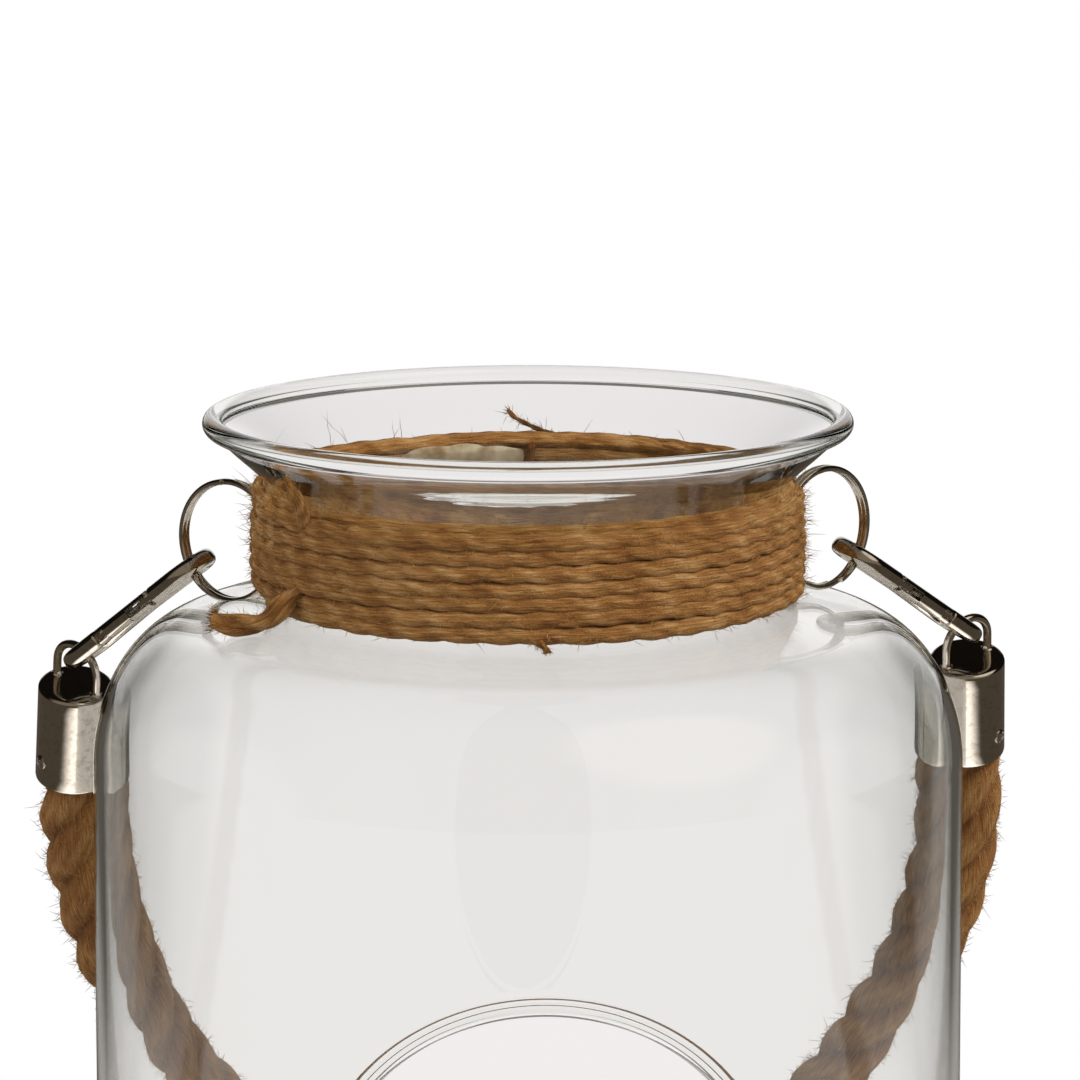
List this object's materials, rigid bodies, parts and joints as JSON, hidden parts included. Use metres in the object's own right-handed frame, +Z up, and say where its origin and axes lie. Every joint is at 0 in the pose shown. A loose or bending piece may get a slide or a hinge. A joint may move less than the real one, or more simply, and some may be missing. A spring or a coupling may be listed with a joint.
{
  "type": "mason jar lantern",
  "caption": "Clear glass jar lantern with a flared mouth, a round front opening, a twine-bound neck, split rings, snap hooks and a thick rope handle in metal end caps.",
  "frame": {"origin": "middle of the flat underside of the jar", "axes": "+Z up the jar axis, -Y out of the round front opening, +X to the right seen from the front"},
  "size_m": [0.1983, 0.1917, 0.2434],
  "materials": {
    "clear_glass": "clear, fire-polished",
    "jute_twine": "hairy natural jute",
    "jute_rope": "three-strand natural jute",
    "nickel_plate": "polished nickel",
    "bright_screw": "bright steel"
  },
  "bodies": {
    "jar": {"glass_jar": "clear_glass", "neck_twine": "jute_twine", "twine_tail": "jute_twine"},
    "left_ring": {"left_split_ring": "nickel_plate"},
    "left_hook": {"left_hook_body": "nickel_plate", "left_gate_pin": "bright_screw"},
    "left_gate": {"left_hook_gate": "nickel_plate", "left_gate_spring": "bright_screw"},
    "right_ring": {"right_split_ring": "nickel_plate"},
    "right_hook": {"right_hook_body": "nickel_plate", "right_gate_pin": "bright_screw"},
    "right_gate": {"right_hook_gate": "nickel_plate", "right_gate_spring": "bright_screw"},
    "handle": {"rope_handle": "jute_rope", "left_end_cap": "nickel_plate", "left_bail": "nickel_plate", "left_cap_screw": "bright_screw", "right_end_cap": "nickel_plate", "right_bail": "nickel_plate", "right_cap_screw": "bright_screw"}
  },
  "joints": [
    {"name": "handle_swing", "type": "hinge", "parent": "jar", "child": "handle", "pos_m": [-0.00113, 0.02478, 0.197], "axis": [0.9993, 0.0254, 0.0258], "range_deg": [0, 130]},
    {"name": "left_ring_swivel", "type": "hinge", "parent": "jar", "child": "left_ring", "pos_m": [-0.0494, 0, 0.2163], "axis": [0, 0, 1], "range_deg": [0, 13.53]},
    {"name": "left_hook_swing", "type": "hinge", "parent": "left_ring", "child": "left_hook", "pos_m": [-0.07867, 0.01217, 0.20921], "axis": [0.9974, -0.0715, 0.0116], "range_deg": [0, 33.59]},
    {"name": "left_gate", "type": "hinge", "parent": "left_hook", "child": "left_gate", "pos_m": [-0.07655, 0.01275, 0.20284], "axis": [0.5811, -0.1906, -0.7912], "range_deg": [0, 25], "stiffness_Nm_per_rad": 0.02, "springref_deg": -14.32},
    {"name": "right_ring_swivel", "type": "hinge", "parent": "jar", "child": "right_ring", "pos_m": [0.0494, 0, 0.219], "axis": [0, 0, 1], "range_deg": [-9.53, 0]},
    {"name": "right_hook_swing", "type": "hinge", "parent": "right_ring", "child": "right_hook", "pos_m": [0.07759, 0.01473, 0.20999], "axis": [0.9868, 0.1573, -0.0394], "range_deg": [0, 33.59]},
    {"name": "right_gate", "type": "hinge", "parent": "right_hook", "child": "right_gate", "pos_m": [0.07522, 0.01495, 0.20562], "axis": [0.5333, 0.1741, 0.8278], "range_deg": [0, 25], "stiffness_Nm_per_rad": 0.02, "springref_deg": -14.32}
  ],
  "couplings": [
    {"joint": "left_ring_swivel", "follows": "handle_swing", "ratio": 0.1037},
    {"joint": "left_hook_swing", "follows": "handle_swing", "ratio": 0.258},
    {"joint": "right_ring_swivel", "follows": "handle_swing", "ratio": -0.0729},
    {"joint": "right_hook_swing", "follows": "handle_swing", "ratio": 0.258}
  ]
}
